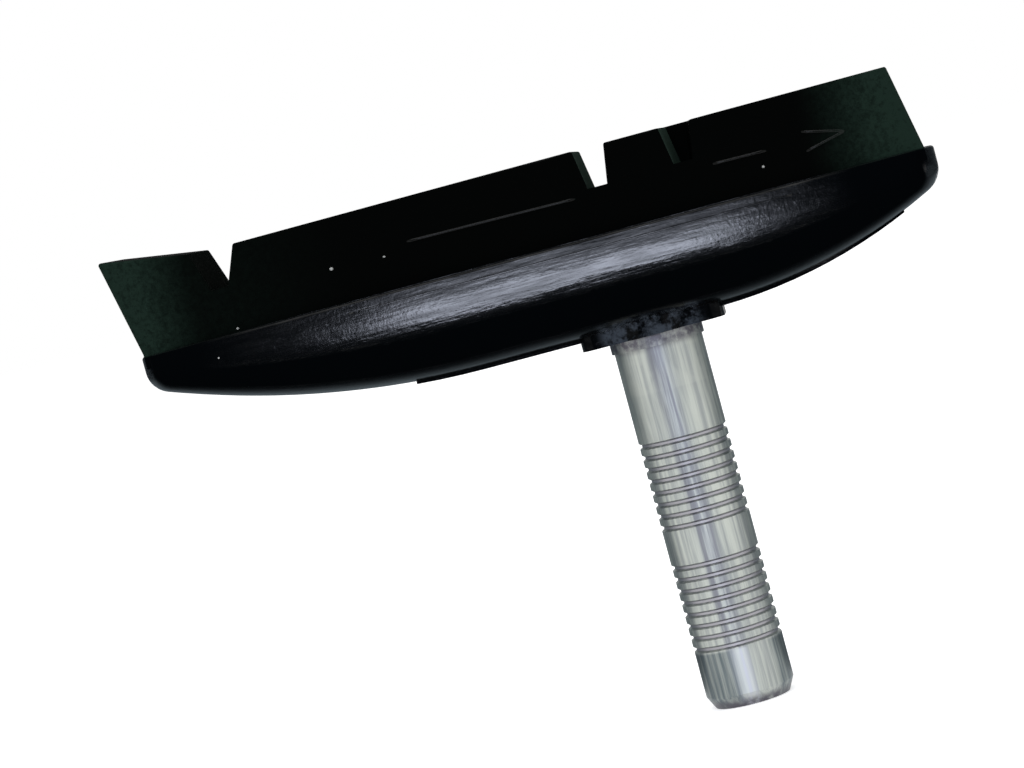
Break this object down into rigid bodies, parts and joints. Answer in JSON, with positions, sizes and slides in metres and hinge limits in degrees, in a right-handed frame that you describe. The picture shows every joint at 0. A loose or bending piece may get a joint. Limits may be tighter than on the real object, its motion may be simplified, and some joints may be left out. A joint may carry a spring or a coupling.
{
  "type": "bicycle rim brake pad",
  "caption": "Cantilever rim brake pad: a curved moulded rubber block on a hull-shaped base, with a plain grooved metal post for clamping.",
  "frame": {"origin": "on the post's axis, at the shoulder under its collar, where the clamping wall starts", "axes": "+Z along the post's axis towards the braking face, +X along the pad towards its heel, and the pad's convex long side faces -Y; the post points down"},
  "size_m": [0.0647, 0.014, 0.0459],
  "materials": {
    "rubber": "moulded black rubber: fine matte grain on the block, smoother satin sheen on the base",
    "plate_steel": "plain pressed steel",
    "post_steel": "zinc-plated turned steel with drawn streaks"
  },
  "bodies": {
    "root": {"rubber_pad": "rubber", "backing_plate": "plate_steel", "post": "post_steel"}
  },
  "joints": []
}
